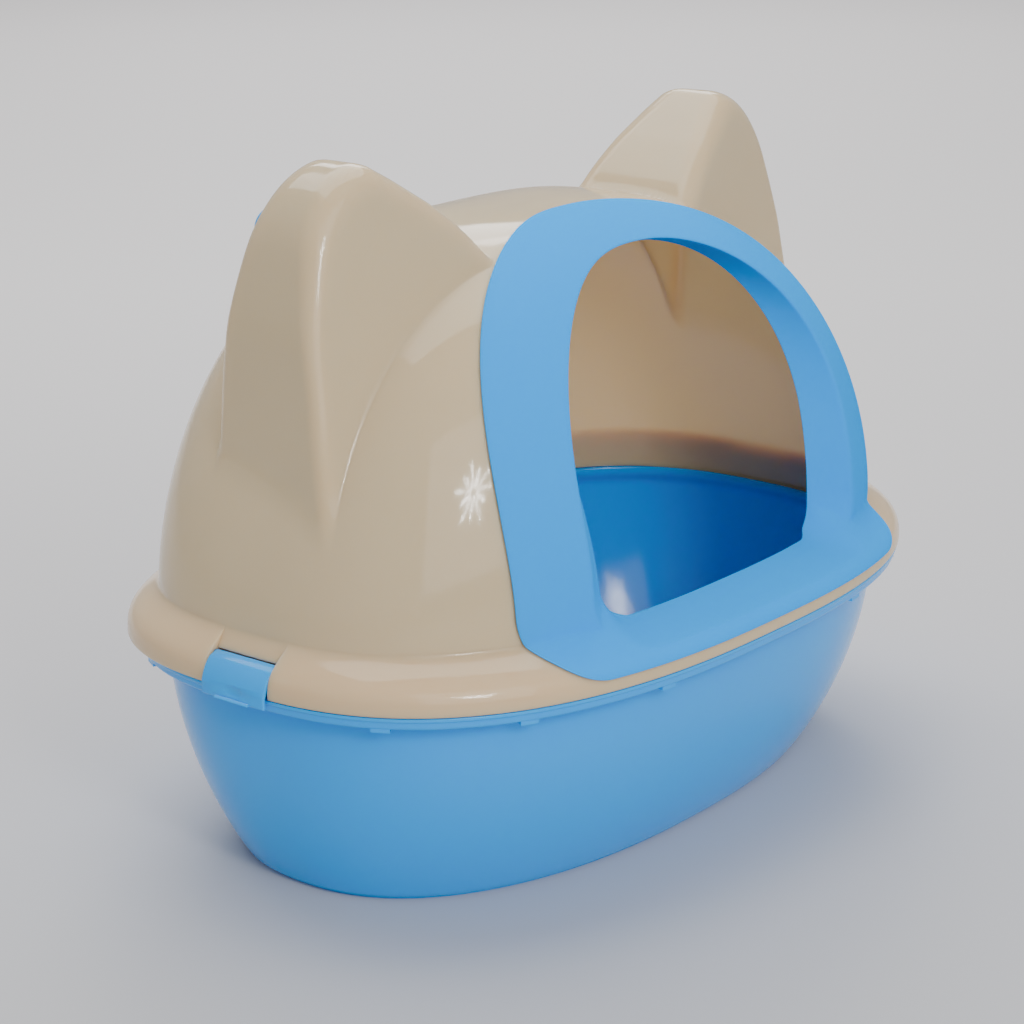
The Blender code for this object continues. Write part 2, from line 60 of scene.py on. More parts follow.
EAR_FRONT = ((0.183, -1.0, 0.163), (0.200, -0.0322, 0.350))
EAR_REAR_LOW = ((0.0, 1.0, 0.06), (0.200, 0.0535, 0.330))
EAR_REAR_HIGH = ((0.05, 1.0, 0.32), (0.150, 0.0520, 0.372))
EAR_EDGE_BLENDS, EAR_REAR_BLEND, EAR_ROOT_BLEND = (0.0100, 0.0190), 0.0160, 0.0050
EAR_TIP_SPAN = (0.3400, 0.4300)      # the edges are rounder towards the tip
EAR_SIDE, EAR_ABOVE, EAR_ACROSS = 0.2, 0.1, 0.5      # only unit directions within these can meet an ear

# ---- entry: half width, half width at the foot, bottom, spring, top, corner radius and power ----
OUTLINE_ARCH = (0.1855, 0.1855, 0.1465, 0.2000, 0.3778, 0.0380, 2.62)
CREASE_ARCH = (0.1370, 0.1365, 0.1550, 0.2250, 0.3605, 0.0290, 2.25)
THROAT_ARCH = (0.1180, 0.1110, 0.1635, 0.2500, 0.3590, 0.0200, 2.60)
THROAT_DEPTH = 0.0200
HOLE_MARGIN, HOLE_DEPTHS = 0.0050, (-0.30, -0.03)
FIT_GAP, FRAME_SKIN, FRAME_CROWN, FRAME_EDGE = 0.0007, 0.0019, 0.0003, 0.0005
FRAME_BACK_SHARE, FRAME_EDGE_SHARE = 0.955, 0.025      # shares of the way from the outline to the crease
FRAME_FRONT_SHARES, FRAME_REAR_SHARES = (0.18, 0.36, 0.54, 0.72, 0.90), (0.70, 0.45, 0.20)
THROAT_SHARES = (0.18, 0.45, 0.72, 0.95)      # shares of the way from the crease into the throat

# ---- tray ----
TRAY_FOOT = (0.2317, 0.1304, 2.31)
TRAY_FOOT_Z, TRAY_WALL_Z, TRAY_WALL_INSET, TRAY_THICK = 0.0030, 0.1260, 0.0172, 0.0028
TRAY_RISE, TRAY_FALL = 2.0155, 1.0756
TRAY_FOOT_ROUNDING = ((0.0040, 0.0), (0.0025, 0.0024))
TRAY_FLOOR_Z, TRAY_FLOOR_EDGE = 0.0040, 0.9      # the floor is level inside this share of the foot
TRAY_RIM = (
    (0.0168, 0.1348), (0.0046, 0.1348), (0.0046, 0.1304), (0.0022, 0.1304), (0.0018, 0.1350),
    (0.0008, 0.1354), (0.0008, 0.1371), (0.0013, 0.1376), (0.0235, 0.1376), (0.0239, 0.1396),
    (0.0247, 0.1402), (0.0259, 0.1396), (0.0259, 0.1346),
)
TRAY_INNER_TOP_Z = 0.1280
LUG_INSET, LUG_LENGTH, LUG_DEPTH = 0.0028, 0.0110, 0.0100
LUG_LOW_Z, LUG_HIGH_Z = 0.1282, 0.1342
LUG_ANGLES = (24, 50, 74, 106, 130, 156)

# ---- clips and notches ----
CLIP_PIVOT = (0.2690, 0.1530)
CLIP_HALF_WIDTH, CLIP_KNUCKLE, CLIP_THICK = 0.0246, 0.0026, 0.0022
CLIP_CROWN, CLIP_SHOULDER = 0.0012, 0.0022
CLIP_BOTTOM_Z, CLIP_PROUD_TOP, CLIP_PROUD_LOW, CLIP_PROUD_BY = 0.1325, -0.0010, 0.0024, 0.62
CLIP_HOLLOW_Z, CLIP_HOLLOW_INSET = (0.1390, 0.1420), 0.0006
CLIP_BEVEL, CLIP_BEVEL_ANGLE, CLIP_BEVEL_STEPS = 0.0009, 50.0, 3
CLIP_LIP = ((-0.0012, 0.0002), (0.0016, 0.0002), (0.0018, 0.0006), (0.0014, 0.0012), (-0.0012, 0.0022))
CLIP_LIP_HALF_WIDTH = 0.0130
SCOOP_OUT, SCOOP_Z, SCOOP_RADII = 0.0034, 0.1395, (0.0046, 0.0120, 0.0062)
CLIP_PIN_RADIUS, CLIP_PIN_LENGTH, CLIP_BORE_RADIUS = 0.0018, 0.0016, 0.0022
NOTCH_X, NOTCH_TOP_Z, NOTCH_HALF_WIDTH = (0.20, 0.30), 0.1690, 0.0250
BORE_MARGIN = 0.002
NOTCH_BACK_GROW, NOTCH_SWELL, NOTCH_SHELF_Z = 0.0026, 0.52, 0.1562

# ---- hook button ----
HOOK_X, HOOK_Z = -0.1925, 0.3900
HOOK_HOLE_RADIUS, HOOK_HOLE_REACH = 0.0044, 0.01
HOOK_PROFILE = (
    (0.0058, -0.0050), (0.0058, -0.0031), (0.0040, -0.0031), (0.0040, 0.0006), (0.0084, 0.0006),
    (0.0098, 0.0016), (0.0098, 0.0034), (0.0088, 0.0046), (0.0058, 0.0052),
)
HOOK_ENDS = (-0.0052, 0.0054)

# ---- surface of the plastic: noise scale and detail, then how far it reaches ----
COLOR_NOISE, COLOR_SPREAD = (7.0, 3.0), (0.97, 1.03)
GLOSS_NOISE, GLOSS_SPREAD = (22.0, 4.0), (0.85, 1.2)
GRAIN_NOISE, GRAIN_STRENGTH, GRAIN_DEPTH = (260.0, 2.0), 0.04, 0.0004
SHARP_ANGLE, FRAME_SHARP_ANGLE = 38.0, 60.0

# ---- floor: painted shade, darker at the front and paler towards the back ----
FLOOR_HALF_SIZE, FLOOR_ROUGHNESS = 12.0, 0.6
FLOOR_FADE_TURN, FLOOR_FADE_SPAN = 51.2, (-1.0, 4.0)
FLOOR_PAINTED_SHADE_TONES = (
    (0.0, (0.42, 0.42, 0.435)), (0.13, (0.47, 0.47, 0.485)), (0.24, (0.57, 0.565, 0.585)),
    (0.50, (0.71, 0.695, 0.70)), (1.0, (0.79, 0.765, 0.77)),
)

# ---- light; the umbrella's panels and glow stand at the front left ----
WORLD_STRENGTH, UMBRELLA_TARGET = 0.55, (0.0, 0.0, 0.22)
UMBRELLA_PLACE, UMBRELLA_POWER, UMBRELLA_PETALS = (-0.89, -1.54, 1.10), 13.0, 11
UMBRELLA_HUB, UMBRELLA_PETAL_WIDTH, UMBRELLA_PETAL_LENGTHS = 0.05, 0.030, (0.25, 0.17, 0.28, 0.20)

# ---- camera: place in metres, turn, tilt and roll in degrees, lens and sensor in millimetres ----
CAMERA_PLACE = (-1.31409, -1.03498, 0.68795)
CAMERA_TURN, CAMERA_TILT, CAMERA_ROLL = 51.22, 16.958, -0.349
CAMERA_LENS, CAMERA_SENSOR, CAMERA_FAR = 95.4193359, 36.0, 50.0

# ---- mesh density ----
HOOD_STEPS, HOOD_RINGS, BEAD_RINGS = 960, 330, 44
INNER_STEPS, INNER_RINGS, INNER_BEAD_RINGS = 480, 150, 20
TRAY_STEPS, TRAY_WALL_RINGS, TRAY_RING_CROWDING = 512, 30, 1.5
FRAME_STEPS, HOLE_STEPS, HOOK_STEPS = 520, 260, 72
ARCH_SILL_STEPS, ARCH_CORNER_STEPS, ARCH_JAMB_STEPS, ARCH_TOP_STEPS = 60, 60, 30, 200
CLIP_FACE_STEPS, CLIP_BACK_STEPS, CLIP_KNUCKLE_STEPS, NOTCH_RINGS = 25, 6, 13, 25
RING_CROWDING = 0.25
CENTRE = np.array((0.0, 0.0, RIM_Z))

# ---- how far the cutters run past what they cut, and how the surfaces are searched for ----
CORE_DROP, NOTCH_DROP = 0.02, 0.01
EAR_NEAREST, EAR_HALVINGS = 0.05, 26
DOME_NEAREST, DOME_HALVINGS = 0.02, 34
SEARCH_END = 0.5


# ---- shapes ----
def bead_share(z):
    """How far the bead above the rim has swollen at z, from 0 to 1."""
    depth = np.clip((WALL_Z - z) / (WALL_Z - RIM_Z), 0.0, 1.0)
    return (1.0 - (1.0 - depth) ** BEAD_RISE) ** BEAD_FILLET


def hood_section(z, grow=0.0, swell=1.0):
    """Half length, front and rear half depth, power and shift of the oval at z; swell scales the bead."""
    rise = np.clip((z - WALL_Z) / (DOME_TOP_Z + grow - WALL_Z), 0.0, 1.0)
    along = (1.0 - rise ** DOME_X_RISE) ** (1.0 / DOME_X_FALL)
    across = (1.0 - rise ** DOME_Y_RISE) ** (1.0 / DOME_Y_FALL)
    bead = swell * bead_share(z)
    half_x = (WALL_HALF_X + grow) * along + bead * (RIM_HALF_X - WALL_HALF_X)
    front = (WALL_HALF_FRONT + grow) * across + bead * (RIM_HALF_Y - WALL_HALF_FRONT)
    rear = (WALL_HALF_REAR + grow) * across + bead * (RIM_HALF_Y - WALL_HALF_REAR)
    power = RIM_POWER + (DOME_TOP_POWER - RIM_POWER) * rise
    return half_x, front, rear, power, DOME_TOP_SHIFT * rise ** 2


def oval(half_x, half_y, power, angle):
    c, s = np.cos(angle), np.sin(angle)
    x = half_x * np.sign(c) * np.abs(c) ** (2.0 / power)
    y = half_y * np.sign(s) * np.abs(s) ** (2.0 / power)
    return x, y


def ring_angles(steps):
    even = np.arange(steps) * 2.0 * math.pi / steps
    return even - RING_CROWDING * np.sin(2.0 * even)


def hood_ring(z, steps, grow=0.0, swell=1.0):
    half_x, front, rear, power, shift = hood_section(z, grow, swell)
    angle = ring_angles(steps)
    behind = np.sin(angle) > 0.0
    half_y = np.where(behind, rear, front)
    power = np.where(behind, power + REAR_EXTRA_POWER, power)
    x, y = oval(half_x, half_y, power, angle)
    return np.stack((x, y + shift, np.full_like(x, z)), axis=-1)


def outline_curve(points, steps=6):
    """A smooth curve through the points, as points."""
    points = np.array(points)
    padded = np.vstack((2 * points[0] - points[1], points, 2 * points[-1] - points[-2]))
    curve = []
    for a, b, c, d in zip(padded, padded[1:], padded[2:], padded[3:]):
        for t in np.arange(steps) / steps:
            curve.append(0.5 * (2 * b + (c - a) * t + (2 * a - 5 * b + 4 * c - d) * t ** 2
                                + (3 * b - a - 3 * c + d) * t ** 3))
    return np.array(curve + [points[-1]])


def ear_plane_groups():
    """Outward unit directions and offsets from CENTRE: outline, front, rear."""
    def plane(normal, through):
        unit = np.array(normal) / np.linalg.norm(normal)
        return np.append(unit, unit @ (np.array(through) - CENTRE))

    curve = outline_curve(EAR_OUTLINE)
    outline = []
    for (x0, z0), (x1, z1) in zip(curve, curve[1:]):
        normal = (z1 - z0, EAR_LEAN * max(z1 - z0, 0.0), x0 - x1)
        outline.append(plane(normal, (0.5 * (x0 + x1), EAR_OUTLINE_Y, 0.5 * (z0 + z1))))
    front, rear = [plane(*EAR_FRONT)], [plane(*EAR_REAR_LOW), plane(*EAR_REAR_HIGH)]
    return np.array(outline), np.array(front), np.array(rear)


def rounded_max(a, b, blend):
    """The larger of a and b, with a fillet where they differ by less than blend."""
    near = np.maximum(blend - np.abs(a - b), 0.0) / blend
    return np.maximum(a, b) + 0.25 * blend * near ** 2


def outside_ear(points, groups, grow):
    """Rounded distance outside the ear on +X; points are relative to CENTRE."""
    outline, front, rear = [points @ planes[:, :3].T - planes[:, 3] - grow for planes in groups]
    tip_start, tip_end = EAR_TIP_SPAN
    share = np.clip((points[..., 2] + RIM_Z - tip_start) / (tip_end - tip_start), 0.0, 1.0)
    fillet = EAR_EDGE_BLENDS[0] + (EAR_EDGE_BLENDS[1] - EAR_EDGE_BLENDS[0]) * share
    behind = rounded_max(rear[..., 0], rear[..., 1], EAR_REAR_BLEND)
    return rounded_max(rounded_max(outline.max(axis=-1), front[..., 0], fillet), behind, fillet)


def reach_along(directions, outside, nearest, halvings):
    """Distance along each direction at which outside(offsets) turns positive, by halving a span."""
    low, high = np.full(len(directions), nearest), np.full(len(directions), SEARCH_END)
    for _ in range(halvings):
        middle = 0.5 * (low + high)
        beyond = outside(directions * middle[:, None]) > 0.0
        high = np.where(beyond, middle, high)
        low = np.where(beyond, low, middle)
    return 0.5 * (low + high)


def ear_reach(directions, grow):
    """Distance from CENTRE to the ears' surface along each direction, ears on both sides."""
    groups = ear_plane_groups()
    mirrored = directions.copy()
    mirrored[..., 0] = np.abs(mirrored[..., 0])
    x, y, z = mirrored[..., 0], mirrored[..., 1], mirrored[..., 2]
    near = (x > EAR_SIDE) & (z > EAR_ABOVE) & (np.abs(y) < EAR_ACROSS)
    reach = np.zeros(directions.shape[:-1])
    reach[near] = reach_along(mirrored[near], lambda offsets: outside_ear(offsets, groups, grow),
                              EAR_NEAREST, EAR_HALVINGS)
    return reach


def eared_rings(steps, dome_rings, bead_rings, grow=0.0, swell=1.0):
    """Rings of points over the dome and its ears, from the rim to just under the crown."""
    bead = WALL_Z - (WALL_Z - RIM_Z) * np.linspace(1.0, 0.0, bead_rings + 1)
    turn = np.linspace(0.0, 1.0, dome_rings + 1)[1:-1] * 0.5 * math.pi
    dome = WALL_Z + (DOME_TOP_Z + grow - WALL_Z) * (np.sin(turn) ** 2) ** (1.0 / DOME_X_RISE)
    rings = np.array([hood_ring(z, steps, grow, swell) for z in np.concatenate((bead, dome))])
    offset = rings - CENTRE
    dome_reach = np.linalg.norm(offset, axis=-1)
    directions = offset / dome_reach[..., None]
    ears = ear_reach(directions, grow)
    reach = rounded_max(dome_reach, ears, EAR_ROOT_BLEND)
    return CENTRE + directions * reach[..., None]


def arch(shape, margin=0.0, steps=FRAME_STEPS):
    """Evenly spaced points (x, z) round an arched opening."""
    half, foot, bottom, spring, top, corner, power = shape
    half, foot, bottom, top = half + margin, foot + margin, bottom - margin, top + margin
    points = [(t * (foot - corner), bottom) for t in np.linspace(0.0, 1.0, ARCH_SILL_STEPS)[:-1]]
    for turn in np.linspace(-0.5, 0.0, ARCH_CORNER_STEPS) * math.pi:
        points.append((foot - corner + corner * math.cos(turn), bottom + corner + corner * math.sin(turn)))
    low = bottom + corner
    for t in np.linspace(0.0, 1.0, ARCH_JAMB_STEPS)[1:-1]:
        points.append((foot + (half - foot) * t, low + (spring - low) * t))
    for turn in np.linspace(0.0, 0.5, ARCH_TOP_STEPS) * math.pi:
        x = half * max(math.cos(turn), 0.0) ** (2.0 / power)
        points.append((x, spring + (top - spring) * math.sin(turn) ** (2.0 / power)))
    half_way = np.array(points)
    length = np.concatenate(((0.0,), np.cumsum(np.linalg.norm(np.diff(half_way, axis=0), axis=1))))
    even = np.linspace(0.0, length[-1], steps // 2 + 1)
    right = np.stack([np.interp(even, length, half_way[:, axis]) for axis in (0, 1)], axis=-1)
    return np.vstack((right, right[-2:0:-1] * (-1.0, 1.0)))


def front_points(outline, depth=0.0):
    """Points of the hood's front at each (x, z), moved inwards by depth."""
    x, z = outline[:, 0], outline[:, 1]
    half_x, front, _, power, shift = hood_section(z)
    half_x, front = half_x - depth, front - depth
    reach = front * (1.0 - np.minimum(np.abs(x / half_x), 1.0) ** power) ** (1.0 / power)
    return np.stack((x, shift - reach, z), axis=-1)


def outside_dome(points, grow):
    """Positive outside the hood without its ears."""
    x, y, z = points[..., 0], points[..., 1], points[..., 2]
    half_x, front, rear, power, shift = hood_section(z, grow)
    y = y - shift
    half_y = np.where(y < 0.0, front, rear)
    power = np.where(y < 0.0, power, power + REAR_EXTRA_POWER)
    level = (np.abs(x) / np.maximum(half_x, 1e-6)) ** power + (np.abs(y) / np.maximum(half_y, 1e-6)) ** power
    return np.where(z > DOME_TOP_Z + grow, 1.0, level - 1.0)


def onto_dome(points, grow):
    """Moves points along rays from CENTRE onto the dome grown by grow."""
    offset = points - CENTRE
    directions = offset / np.linalg.norm(offset, axis=-1, keepdims=True)
    reach = reach_along(directions, lambda offsets: outside_dome(CENTRE + offsets, grow),
                        DOME_NEAREST, DOME_HALVINGS)
    return CENTRE + directions * reach[:, None]


# ---- mesh helpers ----
def mesh_object(name, points, faces):
    mesh = bpy.data.meshes.new(name)
    mesh.from_pydata(points, [], faces)
    obj = bpy.data.objects.new(name, mesh)
    bpy.context.scene.collection.objects.link(obj)
    return obj


def solid(name, points, faces):
    """A closed mesh with its faces turned outward."""
    points = np.asarray(points, float)
    volume = 0.0
    for face in faces:
        start = points[face[0]]
        for one, other in zip(face[1:], face[2:]):
            volume += np.dot(start, np.cross(points[one], points[other]))
    if volume < 0.0:
        faces = [face[::-1] for face in faces]
    return mesh_object(name, points.tolist(), faces)


def ring_faces(ring_count, steps, looped):
    index = np.arange(ring_count * steps).reshape(ring_count, steps)
    lower = index if looped else index[:-1]
    upper = np.roll(index, -1, axis=0) if looped else index[1:]
    quads = np.stack((lower, np.roll(lower, -1, axis=1), np.roll(upper, -1, axis=1), upper), axis=-1)
    return quads.reshape(-1, 4)


def ring_body(name, rings, first_pole=None, last_pole=None, looped=False, flip=False):
    """Joins rings of points, counter-clockwise and rising, into one closed skin."""
    rings = np.asarray(rings)
    count, steps = rings.shape[:2]
    points = rings.reshape(-1, 3)
    quads = ring_faces(count, steps, looped)
    faces = quads[:, ::-1].tolist() if flip else quads.tolist()
    if not looped:
        first, last = len(points), len(points) + 1
        ends = np.arange(steps)
        following = (ends + 1) % steps
        top = (count - 1) * steps
        faces += np.stack((np.full(steps, first), following, ends), axis=-1).tolist()
        faces += np.stack((np.full(steps, last), top + ends, top + following), axis=-1).tolist()
        points = np.vstack((points, np.array([first_pole, last_pole])))
    return mesh_object(name, points.tolist(), faces)


def prism(name, outline, depth_from, depth_to, place):
    """A flat outline of (a, b) pairs swept between two depths; place turns (a, b, depth) into a point."""
    count = len(outline)
    points = [place(a, b, depth) for depth in (depth_from, depth_to) for a, b in outline]
    faces = [list(range(count)), list(range(2 * count - 1, count - 1, -1))]
    faces += [[i, count + i, count + (i + 1) % count, (i + 1) % count] for i in range(count)]
    return solid(name, points, faces)


def box(name, low, high):
    corners = [(x, y, z) for z in (low[2], high[2]) for y in (low[1], high[1]) for x in (low[0], high[0])]
    faces = [(0, 2, 3, 1), (4, 5, 7, 6), (0, 1, 5, 4), (2, 6, 7, 3), (0, 4, 6, 2), (1, 3, 7, 5)]
    return solid(name, corners, faces)


def side_box(side, span_x, half_y, low_z, high_z):
    """A cutter on the right for side 1, and its mirror image on the left for side -1."""
    low_x, high_x = sorted(side * x for x in span_x)
    return box("cutter", (low_x, -half_y, low_z), (high_x, half_y, high_z))


def apply_modifier(obj):
    """Turns what the object's modifier makes into its own mesh."""
    bpy.context.view_layer.update()
    evaluated = obj.evaluated_get(bpy.context.evaluated_depsgraph_get())
    result = bpy.data.meshes.new_from_object(evaluated)
    obj.modifiers.clear()
    obj.data = result


def combine(obj, operation, other):
    """Applies one Boolean of two solids and removes the second."""
    modifier = obj.modifiers.new("cut", "BOOLEAN")
    modifier.operation = operation
    modifier.solver = "MANIFOLD"
    modifier.object = other
    apply_modifier(obj)
    bpy.data.objects.remove(other)
    return obj


def cylinder(name, start, end, radius, segments=48):
    start, end = Vector(start), Vector(end)
    turn = (end - start).to_track_quat("Z", "Y").to_matrix()
    length = (end - start).length
    rings = [[start + turn @ Vector((radius * math.cos(a), radius * math.sin(a), height))
              for a in np.arange(segments) * 2.0 * math.pi / segments] for height in (0.0, length)]
    return ring_body(name, np.array(rings), start, end)


def ball(centre, radii, rings=24, steps=48):
    """An ellipsoid, as a cutter."""
    turn = np.linspace(-0.5, 0.5, rings + 2)[1:-1, None] * math.pi
    angle = (np.arange(steps) * 2.0 * math.pi / steps)[None, :]
    round_it = np.stack((np.cos(turn) * np.cos(angle), np.cos(turn) * np.sin(angle),
                         np.sin(turn) + 0.0 * angle), axis=-1)
    low, high = np.array(centre) - (0.0, 0.0, radii[2]), np.array(centre) + (0.0, 0.0, radii[2])
    return ring_body("cutter", round_it * radii + centre, low, high)


def rounded(rings, passes, looped):
    """Cuts the corners across rings, so that a few rings become one smooth profile."""
    rings = np.asarray(rings, float)
    for _ in range(passes):
        following = np.roll(rings, -1, axis=0)
        mixed = np.stack((0.75 * rings + 0.25 * following, 0.25 * rings + 0.75 * following), axis=1)
        mixed = mixed.reshape(-1, *rings.shape[1:])
        rings = mixed if looped else np.concatenate((rings[:1], mixed[:-2], rings[-1:]))
    return rings


def finish(obj, body, node, material, angle=SHARP_ANGLE):
    """Smooth shading, material and its place in the object."""
    obj.data.materials.clear()
    obj.data.materials.append(material)
    obj.data.shade_smooth()
    obj.data.set_sharp_from_angle(angle=math.radians(angle))
    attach(obj, body)
    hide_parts(node)
    return obj


# ---- pieces ----
def notch_back():
    """What stays behind a clip: a flatter bead above the clip's top and a straight wall below it."""
    low_z, high_z = RIM_Z - CORE_DROP, WALL_Z + NOTCH_DROP
    wall = hood_ring(WALL_Z, INNER_STEPS, NOTCH_BACK_GROW)
    rings = [wall - (0.0, 0.0, WALL_Z - z) for z in (low_z, NOTCH_SHELF_Z)]
    heights = np.linspace(NOTCH_SHELF_Z, WALL_Z, NOTCH_RINGS)
    rings += [hood_ring(z, INNER_STEPS, 0.0, NOTCH_SWELL) for z in heights]
    rings.append(hood_ring(high_z, INNER_STEPS))
    return ring_body("cutter", rings, (0.0, 0.0, low_z), (0.0, 0.0, high_z))


def clip_notch(side):
    """A cutter for one clip's notch and its bore."""
    notch = side_box(side, NOTCH_X, NOTCH_HALF_WIDTH, RIM_Z - NOTCH_DROP, NOTCH_TOP_Z)
    combine(notch, "DIFFERENCE", notch_back())
    x, end = side * CLIP_PIVOT[0], NOTCH_HALF_WIDTH + BORE_MARGIN
    bore = cylinder("cutter", (x, -end, CLIP_PIVOT[1]), (x, end, CLIP_PIVOT[1]), CLIP_BORE_RADIUS)
    return combine(notch, "UNION", bore)


def hood_core():
    """The room inside the hood, as a cutter."""
    inner = eared_rings(INNER_STEPS, INNER_RINGS, INNER_BEAD_RINGS, -HOOD_WALL, 0.0)
    foot = inner[0] - np.array((0.0, 0.0, CORE_DROP))
    return ring_body("cutter", np.concatenate((foot[None], inner)), (0, 0, RIM_Z - CORE_DROP),
                     (0, DOME_TOP_SHIFT, DOME_TOP_Z - HOOD_WALL))


def make_hood(material):
    rings = eared_rings(HOOD_STEPS, HOOD_RINGS, BEAD_RINGS)
    lip = []
    for inset, height in LIP_ROUNDING[:-1]:
        scale = (1.0 - inset / RIM_HALF_X, 1.0 - inset / RIM_HALF_Y, 1.0)
        lip.append(rings[0] * scale + (0.0, 0.0, height))
    above = rings[:, 0, 2] > RIM_Z + LIP_ROUNDING[-1][1]
    rings = np.concatenate((lip, rings[above]))
    hood = ring_body("hood_shell", rings, (0, 0, RIM_Z), (0, DOME_TOP_SHIFT, DOME_TOP_Z))
    core = hood_core()
    for side in (1, -1):
        combine(core, "UNION", clip_notch(side))
    entry = arch(CREASE_ARCH, HOLE_MARGIN, HOLE_STEPS)
    combine(core, "UNION", prism("cutter", entry, *HOLE_DEPTHS, lambda x, z, y: (x, y, z)))
    seat, outward = hook_seat()
    reach = outward * HOOK_HOLE_REACH
    combine(core, "UNION", cylinder("cutter", seat - reach, seat + reach, HOOK_HOLE_RADIUS))
    combine(hood, "DIFFERENCE", core)
    return finish(hood, "hood", "hood", material)


def tray_section(share, inset=0.0):
    """The tray's oval at a share of the height of its wall."""
    swell = (1.0 - (1.0 - share) ** TRAY_RISE) ** (1.0 / TRAY_FALL)
    half_x = TRAY_FOOT[0] + (RIM_HALF_X - TRAY_WALL_INSET - TRAY_FOOT[0]) * swell - inset
    half_y = TRAY_FOOT[1] + (RIM_HALF_Y - TRAY_WALL_INSET - TRAY_FOOT[1]) * swell - inset
    return half_x, half_y, TRAY_FOOT[2] + (RIM_POWER - TRAY_FOOT[2]) * share


def rim_section(inset):
    return RIM_HALF_X - inset, RIM_HALF_Y - inset, RIM_POWER


def level_ring(section, z, steps=TRAY_STEPS):
    x, y = oval(*section, ring_angles(steps))
    return np.stack((x, y, np.full_like(x, z)), axis=-1)


def make_tray(material):
    span = TRAY_WALL_Z - TRAY_FOOT_Z
    shares = np.linspace(0.0, 1.0, TRAY_WALL_RINGS) ** TRAY_RING_CROWDING
    rings = [level_ring(tray_section(0.0, inset), z) for inset, z in TRAY_FOOT_ROUNDING]
    rings += [level_ring(tray_section(share), TRAY_FOOT_Z + span * share) for share in shares]
    rings += [level_ring(rim_section(inset), z) for inset, z in TRAY_RIM]
    inner_span = TRAY_INNER_TOP_Z - TRAY_FLOOR_Z
    for share in shares[::-1]:
        rings.append(level_ring(tray_section(share, TRAY_THICK), TRAY_FLOOR_Z + inner_span * share))
    half_x, half_y, power = tray_section(0.0, TRAY_THICK)
    rings.append(level_ring((half_x * TRAY_FLOOR_EDGE, half_y * TRAY_FLOOR_EDGE, power), TRAY_FLOOR_Z))
    tray = ring_body("tray_shell", rounded(rings, 2, False), (0.0, 0.0, 0.0), (0.0, 0.0, TRAY_FLOOR_Z))
    lugs = None
    for degrees in LUG_ANGLES + tuple(-degrees for degrees in LUG_ANGLES):
        piece = lug(math.radians(degrees))
        lugs = combine(lugs, "UNION", piece) if lugs else piece
    combine(tray, "UNION", lugs)
    return finish(tray, "tray", "tray", material)


def lug(angle):
    """A small block under the tray's rim at this angle, turned along the rim."""
    x, y = oval(*rim_section(LUG_INSET), angle)
    further = oval(*rim_section(LUG_INSET), angle + 0.01)
    along = Vector((further[0] - x, further[1] - y, 0.0)).normalized()
    inward = Vector((-along.y, along.x, 0.0))
    corners = ((-0.5, 0.0), (0.5, 0.0), (0.5, 1.0), (-0.5, 1.0))
    return prism("lug", corners, LUG_LOW_Z, LUG_HIGH_Z,
                 lambda a, b, z: Vector((x, y, z)) + along * a * LUG_LENGTH + inward * b * LUG_DEPTH)


def frame_ring(share, grow):
    """A ring on the grown dome, at a share of the way from the frame's outline to its crease."""
    outline, crease = front_points(arch(OUTLINE_ARCH)), front_points(arch(CREASE_ARCH))
    return onto_dome(outline + (crease - outline) * share, grow)


def blend(first, second, share):
    return first * (1.0 - share) + second * share


def make_frame(material):
    """The flange on the hood's front, its crease and the throat behind it."""
    front = FIT_GAP + FRAME_SKIN
    crown = front + FRAME_CROWN
    crease, crease_back = frame_ring(1.0, crown), frame_ring(FRAME_BACK_SHARE, FIT_GAP)
    throat = front_points(arch(THROAT_ARCH), THROAT_DEPTH)
    throat_back = front_points(arch(THROAT_ARCH, FRAME_SKIN), THROAT_DEPTH)
    rings = [frame_ring(0.0, FIT_GAP), frame_ring(0.0, front - FRAME_EDGE)]
    rings.append(frame_ring(FRAME_EDGE_SHARE, front))
    rings += [frame_ring(share, crown) for share in FRAME_FRONT_SHARES] + [crease]
    rings += [blend(crease, throat, share) for share in THROAT_SHARES]
    rings += [throat, throat_back, blend(crease_back, throat_back, 0.5), crease_back]
    rings += [frame_ring(share, FIT_GAP) for share in FRAME_REAR_SHARES]
    piece = ring_body("entry_frame_shell", rounded(rings, 3, True), looped=True, flip=True)
    return finish(piece, "hood", "entry_frame", material, FRAME_SHARP_ANGLE)


def clip_outer(z):
    """How far out the clip's face lies at z."""
    share = (CLIP_PIVOT[1] - min(z, CLIP_PIVOT[1])) / (CLIP_PIVOT[1] - CLIP_BOTTOM_Z)
    bead = float(hood_section(np.array(max(z, RIM_Z)))[0])
    return bead + CLIP_PROUD_TOP + (CLIP_PROUD_LOW - CLIP_PROUD_TOP) * min(1.0, share / CLIP_PROUD_BY)


def clip_outline():
    """The clip's profile (x, z): crown, face, foot, hollow back and knuckle."""
    pivot_x, pivot_z = CLIP_PIVOT
    top = pivot_z + CLIP_KNUCKLE
    heights = np.linspace(top - CLIP_SHOULDER, CLIP_BOTTOM_Z, CLIP_FACE_STEPS)
    points = [(pivot_x + CLIP_CROWN, top)] + [(clip_outer(z), z) for z in heights]
    back_x = points[-1][0] - CLIP_THICK
    points += [(back_x, CLIP_BOTTOM_Z), (back_x, CLIP_HOLLOW_Z[0])]
    for z in np.linspace(CLIP_HOLLOW_Z[1], pivot_z - CLIP_KNUCKLE, CLIP_BACK_STEPS):
        points.append((min(clip_outer(z) - CLIP_THICK, back_x) - CLIP_HOLLOW_INSET, z))
    for turn in np.linspace(-0.5, -1.5, CLIP_KNUCKLE_STEPS) * math.pi:
        points.append((pivot_x + CLIP_KNUCKLE * math.cos(turn), pivot_z + CLIP_KNUCKLE * math.sin(turn)))
    return points


